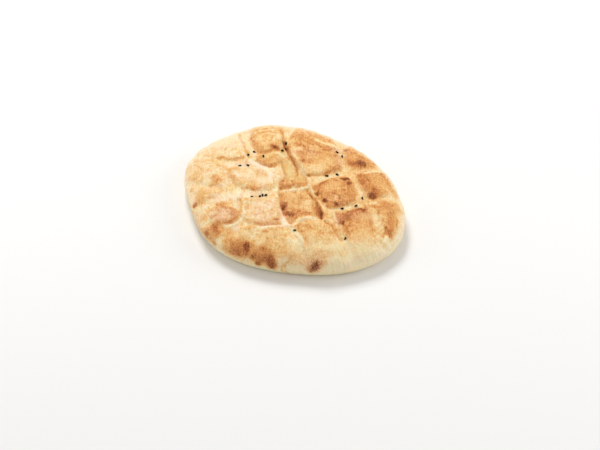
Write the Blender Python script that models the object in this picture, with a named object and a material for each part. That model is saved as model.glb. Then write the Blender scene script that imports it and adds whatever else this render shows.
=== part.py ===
# A somun: an oval loaf of flat hearth bread whose top was pressed into puffed pads before baking.
# Metres, +Z up. The loaf lies on its flat underside at z = 0, long axis along X, centred on the origin.
# The numbers below are millimetres, and MM turns them into metres.
import bmesh
import bpy
import numpy as np
from mathutils import Matrix

MM = 0.001

# Outline seen from above: a turned ellipse with a few slow waves (waves round it, share, turn in degrees).
HALF_LENGTH = 111.9
HALF_WIDTH = 90.4
OUTLINE_TURN = -5.5
OUTLINE_WAVES = ((3, 0.019, 7.9), (4, 0.013, 0.4), (5, 0.012, -21.5), (6, 0.009, 13.0))

# Heights: the widest line round the loaf, the floor of the grooves at the middle, and the rounding of each.
WIDEST_HEIGHT = 13.0
FLOOR_HEIGHT = 27.5
SHOULDER_POWER = 4.0
UNDERSIDE_INSET = 9.0

# The pads: name, rise, width of the rounded edge, and the corners in turn.
PADS = (
    ("upper left", 3.0, 9.0, ((-118, 4), (-112, 34), (-92, 56), (-84, 46), (-63, 18), (-66, 9), (-88, 2))),
    ("top left", 4.0, 8.0, ((-62, 98), (-50, 92), (-34, 46), (-44, 33), (-54, 27), (-72, 44), (-86, 66), (-84, 86))),
    ("small lump", 3.0, 6.0, ((-49, 29), (-40, 34), (-29, 25), (-27, 17), (-38, 14), (-49, 18))),
    ("left middle", 4.5, 8.0, ((-65, 6), (-40, 10), (-24, 9), (-8, -5), (-12, -15), (-30, -26), (-46, -28), (-56, -18))),
    ("centre left", 4.5, 8.0, ((-38, -41), (-2, -13), (20, -38), (13, -50), (-12, -61), (-25, -60), (-32, -50))),
    ("far left", 3.0, 9.0, ((-120, -2), (-88, 0), (-70, 1), (-62, -9), (-56, -20), (-58, -28), (-78, -31), (-116, -26))),
    ("left low", 2.5, 9.0, ((-112, -34), (-84, -36), (-60, -38), (-58, -46), (-76, -64), (-100, -64))),
    ("lower left", 4.0, 7.0, ((-62, -52), (-48, -49), (-33, -51), (-27, -60), (-30, -69), (-48, -72), (-66, -68))),
    ("front left", 2.5, 7.0, ((-66, -75), (-48, -76), (-34, -74), (-30, -84), (-40, -100), (-60, -96))),
    ("front", 4.0, 9.0, ((-24, -70), (-2, -63), (17, -53), (27, -57), (38, -66), (38, -80), (30, -98), (-24, -102))),
    ("lower middle", 4.0, 8.0, ((29, -36), (46, -31), (60, -36), (67, -46), (56, -58), (42, -58), (31, -49), (27, -42))),
    ("upper middle", 4.0, 9.0, ((-46, 98), (-44, 62), (-34, 43), (-10, 21), (3, 14), (14, 23), (25, 37), (22, 50), (10, 72), (-5, 98))),
    ("brown", 4.5, 8.0, ((19, 14), (27, 2), (37, -7), (47, -6), (58, 4), (60, 13), (46, 30), (37, 33), (25, 26))),
    ("right middle", 4.5, 8.0, ((55, -9), (62, -2), (72, 5), (80, 5), (92, -8), (92, -26), (84, -37), (74, -34), (60, -25), (55, -17))),
    ("top right", 3.5, 8.0, ((19, 76), (26, 60), (34, 53), (44, 56), (52, 64), (60, 78), (40, 96), (20, 96))),
    ("upper right", 4.0, 8.0, ((50, 46), (53, 37), (62, 25), (69, 20), (76, 20), (86, 36), (96, 52), (84, 70), (64, 64), (54, 56))),
    ("right", 3.5, 8.0, ((83, 14), (90, 24), (98, 38), (124, 24), (124, -14), (104, -14), (96, -8), (87, 3))),
)
# Two more pads lie in the hollow that runs down the middle.
HOLLOW_PADS = (
    ("centre", 3.0, 8.0, ((-7, -11), (6, -4), (18, -5), (38, -17), (41, -25), (26, -33), (18, -41), (6, -33))),
    ("slope", 2.0, 5.0, ((-15, 2), (-10, 10), (6, 11), (14, 5), (12, 0), (-4, -5), (-11, -7))),
)
CORNER_ROUNDING = 2.5

# The hollow between the left and the right pads: both of its lips, from the top end to the bottom end.
HOLLOW_DEPTH = 5.5
LIP_WIDTH = 5.5
LEFT_LIP = ((-35, 48), (-33, 36), (-28, 26), (-26, 12), (-19, 1), (-10, -12), (0, -26), (9, -37), (23, -45))
RIGHT_LIP = ((-35, 48), (-29, 40), (-18, 32), (-8, 24), (3, 12), (14, 4), (28, -7), (40, -17), (45, -26), (33, -32), (23, -45))

# Creases (rise below zero) and thin ridges (above zero): rise, half width and the line they follow.
LINES = (
    (-3.0, 3.2, ((-46, 70), (-39, 57), (-33, 47), (-27, 39), (-18, 32))),
    (-1.2, 1.8, ((49, -27), (57, -31), (64, -36), (71, -40))),
    (-1.6, 2.2, ((-88, 54), (-75, 35), (-66, 25), (-58, 18))),
    (-1.0, 1.8, ((-38, -38), (-33, -46), (-27, -58))),
    (2.0, 3.5, ((12, 8), (20, 0), (31, -9), (42, -18), (48, -28))),
    (1.6, 3.5, ((23, -46), (25, -37), (31, -31), (40, -28), (48, -28))),
    (1.2, 2.5, ((-10, -62), (2, -58), (12, -52), (18, -45))),
    (-1.5, 2.5, ((102, -10), (107, -20))),
)

# Nigella seeds, all in the grooves: where each lies and how it is turned, in degrees.
SEED_LENGTH = 3.0
SEED_WIDTH = 1.7
SEED_PROUD = 0.15
SEEDS = (
    (15, 62, 120), (21, 60, 110), (30, 34, 140), (22, 28, 20), (65, 16, 125), (64, 4, 30), (54, -5, 40),
    (73, -36, 80), (29, -52, 20), (-56, 25, 145), (-59, 18, 150), (-45, 23, 115), (-33, 39, 70), (-36, 51, 120),
    (-53, 6, 10), (-60, 1, 60), (-17, -23, 60), (-20, -25, 75), (-22, -27, 50), (-28, -32, 15), (-32, 43, 125),
)

# The mesh: squares along each side of the top's grid, the grid's turn, which lays its lines along the lips,
# how much closer its lines come near the rim, and the rings down the side.
TOP_SQUARES = 62
GRID_TURN = -48.0
RIM_CROWDING = 0.06
SIDE_RINGS = 5

CRUST_COLOUR = (0.76, 0.47, 0.21)
CRUST_ROUGHNESS = 0.75
SEED_COLOUR = (0.02, 0.017, 0.014)
SEED_ROUGHNESS = 0.6
SHARP_ANGLE = 50.0


def curve_through(points, pieces=8):
    """A smooth curve through the points, as short straight pieces (Catmull-Rom)."""
    points = np.array(points, float)
    ends = np.vstack([2 * points[0] - points[1], points, 2 * points[-1] - points[-2]])
    t = np.linspace(0, 1, pieces, endpoint=False)[:, None]
    runs = []
    for a, b, c, d in zip(ends, ends[1:], ends[2:], ends[3:]):
        cubic = 3 * b - a - 3 * c + d
        square = 2 * a - 5 * b + 4 * c - d
        runs.append(0.5 * (2 * b + (c - a) * t + square * t**2 + cubic * t**3))
    return np.vstack(runs + [points[-1:]])


def distance_to(curve, x, y):
    """The distance from each place to the curve, above zero on its left and below zero on its right."""
    nearest = np.full(x.shape, np.inf)
    side = np.zeros(x.shape)
    for (ax, ay), (bx, by) in zip(curve, curve[1:]):
        dx, dy = bx - ax, by - ay
        along = np.clip(((x - ax) * dx + (y - ay) * dy) / (dx * dx + dy * dy), 0, 1)
        gap = np.hypot(x - ax - along * dx, y - ay - along * dy)
        closer = gap < nearest
        nearest = np.where(closer, gap, nearest)
        side = np.where(closer, np.sign(dx * (y - ay) - dy * (x - ax)), side)
    return nearest * side


def depth_inside(corners, x, y):
    """How far each place lies inside the rounded shape with these corners: a soft least distance to its sides."""
    corners = np.array(corners, float)
    middle = corners.mean(axis=0)
    total = np.zeros(x.shape)
    for a, b in zip(corners, np.roll(corners, -1, axis=0)):
        normal = np.array([a[1] - b[1], b[0] - a[0]]) / np.hypot(*(b - a))
        if (middle - a) @ normal < 0:
            normal = -normal
        inward = (x - a[0]) * normal[0] + (y - a[1]) * normal[1]
        total += np.exp(-np.clip(inward, -60, 60) / CORNER_ROUNDING)
    return -CORNER_ROUNDING * np.log(total)


def puffed(pads, x, y):
    """The sum of the pads: each rises from its outline over its edge width and is level inside."""
    rise = np.zeros(x.shape)
    for _, lift, edge, corners in pads:
        share = np.clip(depth_inside(corners, x, y) / edge, 0, 1)
        rise += lift * (1 - (1 - share) ** 2)
    return rise


def smooth_step(value):
    value = np.clip(value, 0, 1)
    return value * value * (3 - 2 * value)


def hollow(x, y):
    """One in the hollow between the two lips, nought outside, with a short slope at each lip."""
    past_left_lip = distance_to(curve_through(LEFT_LIP), x, y)
    before_right_lip = -distance_to(curve_through(RIGHT_LIP), x, y)
    return smooth_step(np.minimum(past_left_lip, before_right_lip) / LIP_WIDTH + 0.5)


def outline_waves(angle):
    """The outline's share of the plain ellipse's radius at each angle round it."""
    share = np.ones(angle.shape)
    for waves, size, turn in OUTLINE_WAVES:
        share += size * np.cos(waves * (angle - np.radians(turn)))
    return share


def turned(x, y, degrees):
    turn = np.radians(degrees)
    return x * np.cos(turn) - y * np.sin(turn), x * np.sin(turn) + y * np.cos(turn)


def place_in_outline(angle, share):
    """The place at this angle and this share of the way from the middle to the outline."""
    reach = share * outline_waves(angle)
    return turned(HALF_LENGTH * reach * np.cos(angle), HALF_WIDTH * reach * np.sin(angle), OUTLINE_TURN)


def share_of_outline(x, y):
    """The share of the way from the middle to the outline: place_in_outline read backwards."""
    along, across = turned(x, y, -OUTLINE_TURN)
    angle = np.arctan2(across / HALF_WIDTH, along / HALF_LENGTH)
    return np.hypot(along / HALF_LENGTH, across / HALF_WIDTH) / outline_waves(angle)


def outline_centre():
    """The middle of the outline's box, which goes to the origin."""
    x, y = place_in_outline(np.linspace(0, 2 * np.pi, 720), 1.0)
    return (x.min() + x.max()) / 2, (y.min() + y.max()) / 2


def top_height(x, y):
    """The top surface: a rounded dome with the pads, the hollow, the creases and the ridges on it."""
    share = np.minimum(share_of_outline(x, y), 1)
    shoulder = np.sqrt(1 - share**SHOULDER_POWER)
    dome = WIDEST_HEIGHT + (FLOOR_HEIGHT - WIDEST_HEIGHT) * shoulder
    sunk = hollow(x, y)
    relief = (1 - sunk) * puffed(PADS, x, y)
    relief += sunk * (puffed(HOLLOW_PADS, x, y) - HOLLOW_DEPTH)
    for rise, half_width, points in LINES:
        gap = distance_to(curve_through(points), x, y)
        relief += rise * np.exp(-((gap / half_width) ** 2))
    return dome + relief * shoulder


def top_places(u, v):
    """Places on the top for a square grid from -1 to 1, which is first pulled round into a disc."""
    disc_x = u * np.sqrt(1 - v * v / 2)
    disc_y = v * np.sqrt(1 - u * u / 2)
    share = np.hypot(disc_x, disc_y)
    share = np.minimum(share * (1 + RIM_CROWDING * (1 - share**2)), 1)
    x, y = place_in_outline(np.arctan2(disc_y, disc_x) + np.radians(GRID_TURN), share)
    return x, y, top_height(x, y)


def build_loaf(collection):
    """The loaf: a grid shaped into the top, its border carried down in rings, and a flat underside."""
    mesh = bmesh.new()
    bmesh.ops.create_grid(mesh, x_segments=TOP_SQUARES, y_segments=TOP_SQUARES, size=1.0)
    grid = np.array([vert.co for vert in mesh.verts])
    x, y, z = top_places(grid[:, 0], grid[:, 1])
    centre_x, centre_y = outline_centre()
    places = np.column_stack([x - centre_x, y - centre_y, z]) * MM
    for vert, place in zip(mesh.verts, places):
        vert.co = place

    border = [edge for edge in mesh.edges if edge.is_boundary]
    mean_radius = (HALF_LENGTH + HALF_WIDTH) / 2
    width_before = 1.0
    for ring in range(1, SIDE_RINGS + 1):
        turn = np.pi / 2 * ring / SIDE_RINGS
        width = 1 - UNDERSIDE_INSET * (1 - np.cos(turn)) / mean_radius
        made = bmesh.ops.extrude_edge_only(mesh, edges=border)["geom"]
        border = [item for item in made if isinstance(item, bmesh.types.BMEdge)]
        for vert in (item for item in made if isinstance(item, bmesh.types.BMVert)):
            vert.co.x *= width / width_before
            vert.co.y *= width / width_before
            vert.co.z = WIDEST_HEIGHT * (1 - np.sin(turn)) * MM
        width_before = width
    underside = [edge for edge in mesh.edges if edge.is_boundary]
    bmesh.ops.contextual_create(mesh, geom=underside)
    bmesh.ops.recalc_face_normals(mesh, faces=mesh.faces)

    data = bpy.data.meshes.new("somun")
    mesh.to_mesh(data)
    mesh.free()
    loaf = bpy.data.objects.new("somun", data)
    collection.objects.link(loaf)
    return loaf


def build_seeds(collection, material):
    """One small spindle for each seed, lying along the surface and half sunk in it."""
    centre_x, centre_y = outline_centre()
    for number, (x, y, turn) in enumerate(SEEDS):
        mesh = bmesh.new()
        bmesh.ops.create_uvsphere(mesh, u_segments=5, v_segments=4, radius=0.5)
        size = Matrix.Diagonal((SEED_WIDTH * MM, SEED_WIDTH * MM, SEED_LENGTH * MM, 1.0))
        lie_flat = Matrix.Rotation(np.pi / 2, 4, "Y")
        bmesh.ops.transform(mesh, matrix=lie_flat @ size, verts=mesh.verts)
        data = bpy.data.meshes.new(f"seed_{number}")
        mesh.to_mesh(data)
        mesh.free()
        data.materials.append(material)
        seed = bpy.data.objects.new(f"seed_{number}", data)
        height = float(top_height(np.array([x]), np.array([y]))[0])
        seed.location = ((x - centre_x) * MM, (y - centre_y) * MM, (height + SEED_WIDTH * SEED_PROUD) * MM)
        seed.rotation_euler = (0, 0, np.radians(turn))
        collection.objects.link(seed)


def fuse(loaf, seeds):
    """Joins the seeds to the loaf in one union, then removes them."""
    union = loaf.modifiers.new("seeds", "BOOLEAN")
    union.operation = "UNION"
    union.operand_type = "COLLECTION"
    union.collection = seeds
    union.solver = "EXACT"
    union.material_mode = "TRANSFER"
    graph = bpy.context.evaluated_depsgraph_get()
    joined = bpy.data.meshes.new_from_object(loaf.evaluated_get(graph), depsgraph=graph)
    loaf.modifiers.clear()
    loaf.data = joined
    for seed in list(seeds.objects):
        bpy.data.objects.remove(seed, do_unlink=True)
    bpy.data.collections.remove(seeds)


def plain_material(name, colour, roughness):
    material = bpy.data.materials.new(name)
    material.use_nodes = True
    shader = material.node_tree.nodes["Principled BSDF"]
    shader.inputs["Base Color"].default_value = (*colour, 1.0)
    shader.inputs["Roughness"].default_value = roughness
    shader.inputs["Metallic"].default_value = 0.0
    return material


def new_collection(name):
    collection = bpy.data.collections.new(name)
    bpy.context.scene.collection.children.link(collection)
    return collection


def main():
    for item in list(bpy.data.objects):
        bpy.data.objects.remove(item, do_unlink=True)
    parts = new_collection("somun")
    seeds = new_collection("somun_seeds")
    loaf = build_loaf(parts)
    loaf.data.materials.append(plain_material("baked_crust", CRUST_COLOUR, CRUST_ROUGHNESS))
    build_seeds(seeds, plain_material("nigella_seed", SEED_COLOUR, SEED_ROUGHNESS))
    fuse(loaf, seeds)
    loaf.data.shade_smooth()
    loaf.data.set_sharp_from_angle(angle=np.radians(SHARP_ANGLE))


main()
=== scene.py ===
import bpy
import numpy as np
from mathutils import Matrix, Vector


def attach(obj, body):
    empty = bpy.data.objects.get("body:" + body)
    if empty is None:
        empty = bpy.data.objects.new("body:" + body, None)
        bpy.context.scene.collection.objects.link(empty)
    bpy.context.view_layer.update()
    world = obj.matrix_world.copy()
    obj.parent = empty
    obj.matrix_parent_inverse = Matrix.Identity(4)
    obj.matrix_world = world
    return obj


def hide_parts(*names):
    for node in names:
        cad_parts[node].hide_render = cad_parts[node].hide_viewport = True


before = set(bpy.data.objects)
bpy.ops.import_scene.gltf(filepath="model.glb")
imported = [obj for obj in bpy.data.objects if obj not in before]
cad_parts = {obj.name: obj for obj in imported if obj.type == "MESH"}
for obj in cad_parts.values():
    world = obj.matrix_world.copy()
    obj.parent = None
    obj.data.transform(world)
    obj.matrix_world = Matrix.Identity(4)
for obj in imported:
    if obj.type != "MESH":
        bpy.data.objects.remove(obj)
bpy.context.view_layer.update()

mm = 0.001               # every size below is in millimetres, and mm turns it into metres


# Shared helpers

def toLinear(red, green, blue):
    # A screen colour (0 to 255) as a shader takes it: a straight part near black, then a power of 2.4
    c = np.array([red, green, blue]) / 255
    return (*np.where(c <= 0.04045, c / 12.92, ((c + 0.055) / 1.055) ** 2.4), 1.0)


def smoothStep(value):
    # 3 times the square less 2 times the cube: an eased climb from nought to one
    value = np.clip(value, 0, 1)
    return value * value * (3 - 2 * value)


def climb(value, start, width):
    # The eased climb that begins at the start and takes the width
    return smoothStep((value - start) / width)


def fall(value, end, width):
    # The eased fall that takes the width and is over at the end
    return smoothStep((end - value) / width)


def towards(value, level, share):
    # The value drawn towards the level by the share
    return value + (level - value) * share


def valueNoise(places, cell, seed):
    # Random values from -1 to 1 on a lattice of cubes, blended across each cube with eased weights
    rng = np.random.default_rng(seed)
    grid = places / np.asarray(cell, float)
    low = np.floor(grid).astype(int)
    ease = smoothStep(grid - low)
    low -= low.min(axis=0)
    values = rng.uniform(-1, 1, tuple(low.max(axis=0) + 2))
    total = np.zeros(len(places))
    for corner in np.ndindex(2, 2, 2):
        weight = np.prod(np.where(corner, ease, 1 - ease), axis=1)
        total += weight * values[tuple((low + np.array(corner)).T)]
    return total


def layered(places, layers, seed):
    # The sum of the layers' noise, each with its own cell, size and seed
    return sum(size * valueNoise(places, cell, seed + layer) for layer, (cell, size) in enumerate(layers))


def turned(x, y, degrees):
    # The plane turned by an angle: x cos - y sin, x sin + y cos
    turn = np.radians(degrees)
    return x * np.cos(turn) - y * np.sin(turn), x * np.sin(turn) + y * np.cos(turn)


def curveThrough(points, pieces=8):
    # Catmull-Rom: a cubic between each two points, with half the step between their neighbours as the slope
    points = np.array(points, float)
    ends = np.vstack([2 * points[0] - points[1], points, 2 * points[-1] - points[-2]])
    t = np.linspace(0, 1, pieces, endpoint=False)[:, None]
    runs = []
    for a, b, c, d in zip(ends, ends[1:], ends[2:], ends[3:]):
        cubic = 3 * b - a - 3 * c + d
        square = 2 * a - 5 * b + 4 * c - d
        runs.append(0.5 * (2 * b + (c - a) * t + square * t**2 + cubic * t**3))
    return np.vstack(runs + [points[-1:]])


def distanceTo(curve, x, y):
    # The least distance to the curve's straight pieces, above zero on its left and below zero on its right
    nearest = np.full(x.shape, np.inf)
    side = np.zeros(x.shape)
    for (ax, ay), (bx, by) in zip(curve, curve[1:]):
        dx, dy = bx - ax, by - ay
        along = np.clip(((x - ax) * dx + (y - ay) * dy) / (dx * dx + dy * dy), 0, 1)
        gap = np.hypot(x - ax - along * dx, y - ay - along * dy)
        closer = gap < nearest
        nearest = np.where(closer, gap, nearest)
        side = np.where(closer, np.sign(dx * (y - ay) - dy * (x - ax)), side)
    return nearest * side


def lineWeight(x, y, points, halfWidth, pieces=8):
    # e to the power of minus the square of the distance over the half width
    return np.exp(-((distanceTo(curveThrough(points, pieces), x, y) / halfWidth) ** 2))


def depthInside(corners, x, y, rounding):
    # A soft least distance to the sides of a shape: minus rounding times the log of the summed exponentials
    corners = np.array(corners, float)
    middle = corners.mean(axis=0)
    furthest = 60            # millimetres, which keeps the exponentials finite
    total = np.zeros(x.shape)
    for a, b in zip(corners, np.roll(corners, -1, axis=0)):
        normal = np.array([a[1] - b[1], b[0] - a[0]]) / np.hypot(*(b - a))
        if (middle - a) @ normal < 0:
            normal = -normal
        inward = (x - a[0]) * normal[0] + (y - a[1]) * normal[1]
        total += np.exp(-np.clip(inward, -furthest, furthest) / rounding)
    return -rounding * np.log(total)


def meshObject(name, points, faces, smooth=True):
    # Points in millimetres and faces as rows of point numbers, made an object at the origin
    data = bpy.data.meshes.new(name)
    data.from_pydata((points * mm).tolist(), [], faces)
    data.polygons.foreach_set("use_smooth", np.full(len(data.polygons), smooth))
    data.update()
    made = bpy.data.objects.new(name, data)
    bpy.context.scene.collection.objects.link(made)
    return made


# The loaf's form

loaf = {
    "halfLength": 111.9,
    "halfWidth": 90.4,
    "outlineTurn": -5.5,
    # How many waves go round the outline, their share of the radius, and their turn
    "outlineWaves": ((3, 0.019, 7.9), (4, 0.013, 0.4), (5, 0.012, -21.5), (6, 0.009, 13.0)),
    "widestHeight": 13.0,    # where the side is furthest out
    "floorHeight": 27.5,     # the plain top in the middle, below the pads
    "shoulderPower": 4.0,    # higher is a flatter top and a steeper rim
    "undersideInset": 9.0,   # how far the underside's edge lies inside the outline
    "cornerRounding": 1.0,   # of the pads' corners
    "leftLipDepth": 5.0,     # how far the hollow's floor lies below each lip
    "rightLipDepth": 2.2,
    "lipWidth": 3.2,
    "stripFrom": (-2.0, 14.0),   # up the left lip from here, over this width, come
    "stripDepth": 4.2,       # this depth
    "stripLipWidth": 8.0,    # and this width
    "padGrowth": 1.2,        # how far the pads' feet reach past their toasted outlines
    "topSquares": 272,       # squares along each side of the top's grid
    "gridTurn": -48.0,       # lays the grid's lines along the lips
    "rimCrowding": 0.06,     # draws the grid's lines together at the rim
    "sideRings": 13,
    "undersideRings": 10,
}

# The puffed pads: rise, width of the rounded edge, how far they are toasted (0 pale dough, 1 scorched), and
# the corners in turn
pads = {
    "upperLeft": (2.6, 7.0, 0.26, (
        (-118, 6), (-112, 36), (-94, 58), (-84, 50), (-63, 24), (-61, 14), (-68, 6), (-84, 2),
    )),
    "topLeft": (3.5, 7.5, 0.43, (
        (-84, 72), (-78, 56), (-66, 40), (-52, 27), (-43, 32),
        (-37, 40), (-38, 50), (-44, 62), (-50, 76), (-56, 90),
    )),
    "smallLump": (2.4, 4.5, 0.44, (
        (-52, 20.5), (-43, 30), (-35, 35), (-28, 34),
        (-25.5, 26), (-29, 17.5), (-34.5, 13.5), (-47.5, 14.5),
    )),
    "leftMiddle": (2.4, 6.5, 0.29, (
        (-68, -5), (-60, 1), (-48, 6), (-38, 9), (-28, 8), (-20, 1), (-15, -7),
        (-15.6, -11.8), (-29.6, -21.8), (-42, -24), (-52, -22), (-61, -16),
    )),
    "centreLeft": (2.8, 5.0, 0.36, (
        (-38, -37), (-28, -31), (-12, -20), (-6, -18), (8, -36),
        (14, -48), (0, -57), (-13, -61), (-25, -57), (-34, -46),
    )),
    "farLeft": (2.6, 7.5, 0.32, (
        (-118, 0), (-95, 2), (-80, 1), (-73, -1), (-68, -10),
        (-60, -22), (-60, -29), (-70, -33), (-90, -34), (-110, -32),
    )),
    "leftLow": (2.5, 7.5, 0.30, (
        (-106, -38), (-80, -37), (-62, -34), (-57, -39), (-62, -47), (-70, -56), (-82, -63), (-94, -54),
    )),
    "lowerLeft": (3.6, 4.5, 0.50, (
        (-57, -60), (-51, -54), (-43, -50.8), (-32.5, -50.5), (-26, -54.5),
        (-25, -63), (-30, -69), (-36, -73), (-45, -73), (-55, -68),
    )),
    "frontLeft": (2.5, 5.5, 0.43, (
        (-66, -77), (-48, -77), (-37, -76), (-31, -80), (-34, -88), (-44, -98), (-60, -92),
    )),
    "front": (3.8, 7.0, 0.34, (
        (-20, -68), (-8, -62), (14, -51), (24, -52), (38, -60),
        (42, -70), (38, -96), (10, -110), (-20, -108),
    )),
    "lowerMiddle": (3.3, 6.5, 0.42, (
        (27.6, -35), (33.6, -29.6), (45.4, -27), (56, -28.6), (67, -37), (77, -46),
        (84, -58), (74, -74), (56, -78), (44, -64), (34, -52), (27, -44),
    )),
    "upperMiddle": (3.2, 5.5, 0.53, (
        (-44, 92), (-37, 66), (-32, 44.5), (-14, 30.5), (-4, 23.5), (3.5, 19.2),
        (11, 23), (18.5, 28.5), (25, 35.5), (30.5, 44), (18, 61), (-8, 96),
    )),
    "brown": (3.2, 5.5, 0.59, (
        (19.5, 13), (25, 1.5), (34.5, -6.5), (46.5, -9), (55, -0.5),
        (61.5, 9), (58.5, 18), (50, 30.5), (42, 36.5), (34, 34.5), (23, 22.5),
    )),
    "rightMiddle": (3.2, 5.5, 0.56, (
        (54.4, -14.4), (59.6, -8.8), (66.2, 1.6), (73, 7.6), (79, 5.5), (87, -5),
        (97, -19), (106, -34), (91, -52), (79, -40), (67, -29), (57.5, -20),
    )),
    "topRight": (3.0, 6.0, 0.57, (
        (16, 88), (21, 68), (28, 56), (36, 50), (43, 53), (52, 63), (56, 72), (46, 92), (24, 98),
    )),
    "upperRight": (3.4, 6.0, 0.65, (
        (64, 68), (49, 52), (46, 43.5), (55, 33), (67, 22),
        (73, 22), (82, 33), (93, 48), (88, 66), (74, 76),
    )),
    "right": (2.8, 5.5, 0.54, (
        (80, 14), (87, 23), (92, 29), (99, 27), (105, 14), (111, 2),
        (113, -9), (108, -14), (102, -8), (93, 0), (86, 6),
    )),
}
# Two more pads lie in the hollow that runs down the middle
hollowPads = {
    "centre": (3.0, 6.0, 0.50, (
        (-8.5, -9.5), (0, -5), (13, -0.5), (20, -2), (32, -10), (43, -22), (22, -39), (14, -38), (4, -29),
    )),
    "slope": (2.6, 4.0, 0.57, (
        (-13.5, -4.5), (1, 1.8), (11, 9.2), (8, 11), (-7, 10), (-16, 4.5),
    )),
}
# Both lips of the hollow, from its top end to its bottom end
leftLip = (
    (-35, 48), (-33, 39), (-29, 31), (-25, 25.5), (-20.5, 19.5), (-16.5, 14), (-15.3, 9),
    (-15.6, 4), (-13.8, -3), (-9, -11.4), (0.4, -25.6), (9, -36.5), (23, -45),
)
rightLip = (
    (-35, 48), (-29, 40), (-18, 33), (-8, 27.5), (0, 22), (8, 14.5), (14, 6.5), (21, -0.5),
    (28, -6.5), (36, -12.5), (42, -18.5), (45.8, -26.8), (33.6, -33), (23.4, -46),
)
# Creases (below zero) and thin ridges (above zero): rise, half width and the line they follow
lines = (
    (-1.8, 1.3, ((-47, 66), (-43, 60), (-39.5, 54))),
    (-5.2, 1.2, ((-39.5, 54), (-32.5, 46.7), (-25, 39.8))),
    (-2.0, 1.1, ((-25, 39.8), (-19.8, 35), (-12, 29.4))),
    (1.3, 1.7, ((-10, -7), (-3.1, -3.4), (6, 2.6), (12.9, 7.4))),
    (-1.4, 1.4, ((48, -28), (52, -29), (56, -28.5), (61, -32), (66, -35), (72, -39))),
    (-1.8, 1.6, ((-88, 54), (-75, 35), (-66, 25), (-58, 18))),
    (-1.2, 1.3, ((-38, -38), (-33, -46), (-27, -58))),
    (2.3, 1.5, ((10, 15), (14, 9), (18.5, 3.2), (23, -1.5), (30, -6.8), (38.4, -12.7), (44, -19), (48, -27))),
    (2.2, 2.7, ((22.5, -46), (25, -38), (29.6, -32.6), (35.6, -28.9), (41.6, -27.2), (48, -27))),
    (1.1, 1.8, ((24.5, -47), (34, -53.5), (42, -59.7), (46, -64))),
    (1.2, 2.5, ((-8, -65), (2, -60.5), (10, -55), (18, -48))),
    (1.0, 2.0, ((-46, -75), (-37, -74), (-28, -70.5), (-23.5, -62), (-23, -54))),
    (-1.8, 1.2, ((102, -10), (103.5, -16), (104, -21))),
    (1.6, 1.8, ((105.5, -10.5), (106.3, -15.4), (107, -21))),
)


def outlineWaves(angle):
    # One plus a few cosines round the outline: its share of the plain ellipse
    share = np.ones(angle.shape)
    for waves, size, turn in loaf["outlineWaves"]:
        share += size * np.cos(waves * (angle - np.radians(turn)))
    return share


def placeInOutline(angle, share):
    # An ellipse's cosine and sine, times the waves and the share of the way out, then turned
    reach = share * outlineWaves(angle)
    along = loaf["halfLength"] * reach * np.cos(angle)
    across = loaf["halfWidth"] * reach * np.sin(angle)
    return turned(along, across, loaf["outlineTurn"])


def shareOfOutline(x, y):
    # The place turned back and divided by the half sizes and the waves
    along, across = turned(x, y, -loaf["outlineTurn"])
    angle = np.arctan2(across / loaf["halfWidth"], along / loaf["halfLength"])
    return np.hypot(along / loaf["halfLength"], across / loaf["halfWidth"]) / outlineWaves(angle)


def outlineCentre():
    # The middle of the outline's box, which lies on the origin
    steps = 720
    x, y = placeInOutline(np.linspace(0, 2 * np.pi, steps), 1.0)
    return np.array([(x.min() + x.max()) / 2, (y.min() + y.max()) / 2])


def hollowShare(x, y):
    # An eased step centred on each lip, by the lesser of the two distances over the lips' widths; and the
    # floor's depth, which runs from the left lip's to the right lip's by the ratio of the two distances
    pastLeft = distanceTo(curveThrough(leftLip), x, y)
    beforeRight = -distanceTo(curveThrough(rightLip), x, y)
    upper = climb(y, *loaf["stripFrom"])
    leftWidth = towards(loaf["lipWidth"], loaf["stripLipWidth"], upper)
    leftDepth = towards(loaf["leftLipDepth"], loaf["stripDepth"], upper)
    sunk = smoothStep(np.minimum(pastLeft / leftWidth, beforeRight / loaf["lipWidth"]) + 0.5)
    fromLeft, fromRight = np.maximum(pastLeft, 0), np.maximum(beforeRight, 0)
    across = fromLeft / np.maximum(fromLeft + fromRight, 0.1)   # 0.1 mm, so as not to divide by nought
    return sunk, towards(leftDepth, loaf["rightLipDepth"], across)


def puffed(group, x, y):
    # Each pad climbs from its edge as 1 less the square of what is left of the edge's width
    rise = np.zeros(x.shape)
    for lift, edge, _, corners in group.values():
        inside = depthInside(corners, x, y, loaf["cornerRounding"]) + loaf["padGrowth"]
        share = np.clip(inside / edge, 0, 1)
        rise += lift * (1 - (1 - share) ** 2)
    return rise


def topHeight(x, y):
    # Root of 1 less the share's power for the dome, plus the relief, which fades to the rim in the same way
    share = np.minimum(shareOfOutline(x, y), 1)
    shoulder = np.sqrt(1 - share ** loaf["shoulderPower"])
    dome = loaf["widestHeight"] + (loaf["floorHeight"] - loaf["widestHeight"]) * shoulder
    sunk, depth = hollowShare(x, y)
    relief = (1 - sunk) * puffed(pads, x, y) + sunk * (puffed(hollowPads, x, y) - depth)
    for rise, halfWidth, points in lines:
        relief += rise * lineWeight(x, y, points, halfWidth)
    return dome + relief * shoulder


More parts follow.
